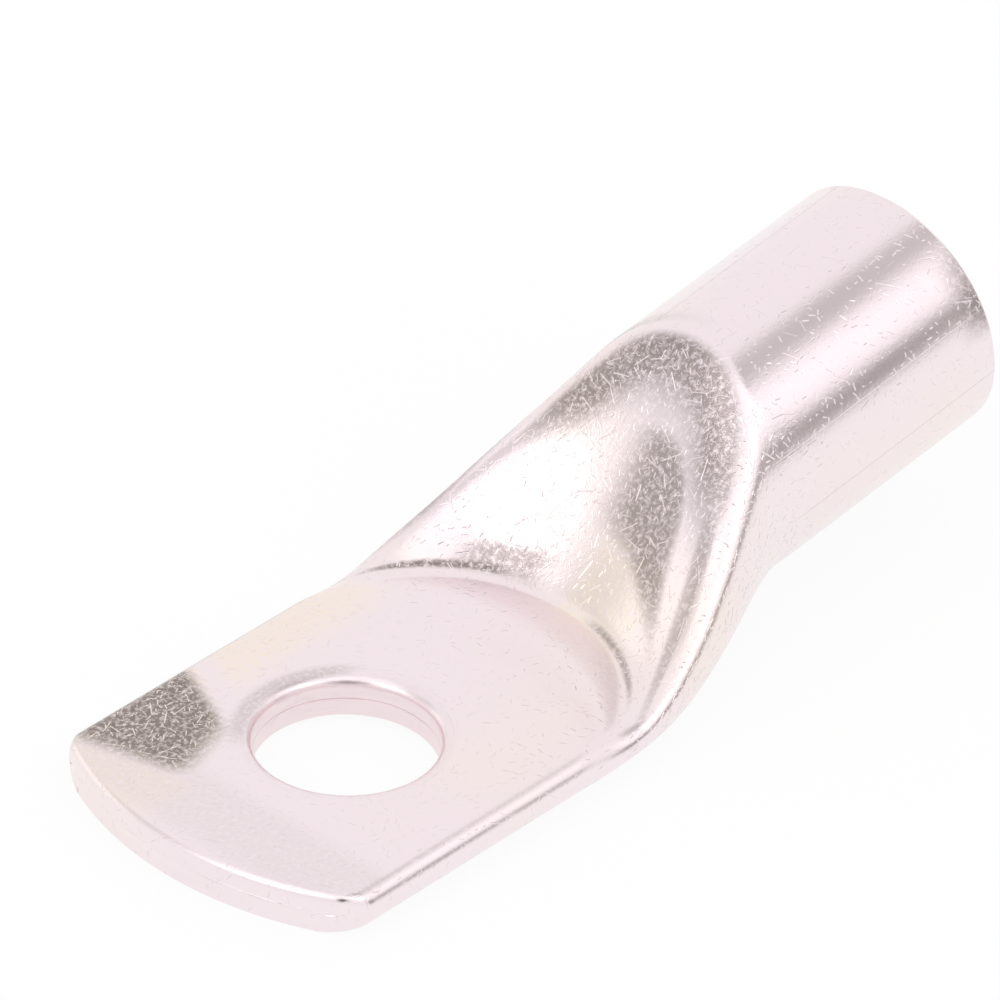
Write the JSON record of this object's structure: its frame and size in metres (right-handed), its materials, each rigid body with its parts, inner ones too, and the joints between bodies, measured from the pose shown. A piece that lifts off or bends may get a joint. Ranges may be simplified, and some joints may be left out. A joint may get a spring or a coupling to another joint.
{
  "type": "tube cable lug",
  "caption": "Tinned copper tube cable lug: a round crimp barrel whose other end is pressed flat into a palm with a hole for a stud or bolt.",
  "frame": {"origin": "stud-hole axis on the palm's contact face", "axes": "+Z along the stud hole, out of the palm's top; +X from the stud hole to the barrel mouth; +Y completes a right-handed frame"},
  "size_m": [0.0743, 0.028, 0.0221],
  "materials": {
    "tin_plate": "bright electro-tinned copper with fine random tumbling scratches; the sawn mouth shows paler pinkish metal and the bore is dull and dark"
  },
  "bodies": {
    "root": {"lug": "tin_plate"}
  },
  "joints": []
}
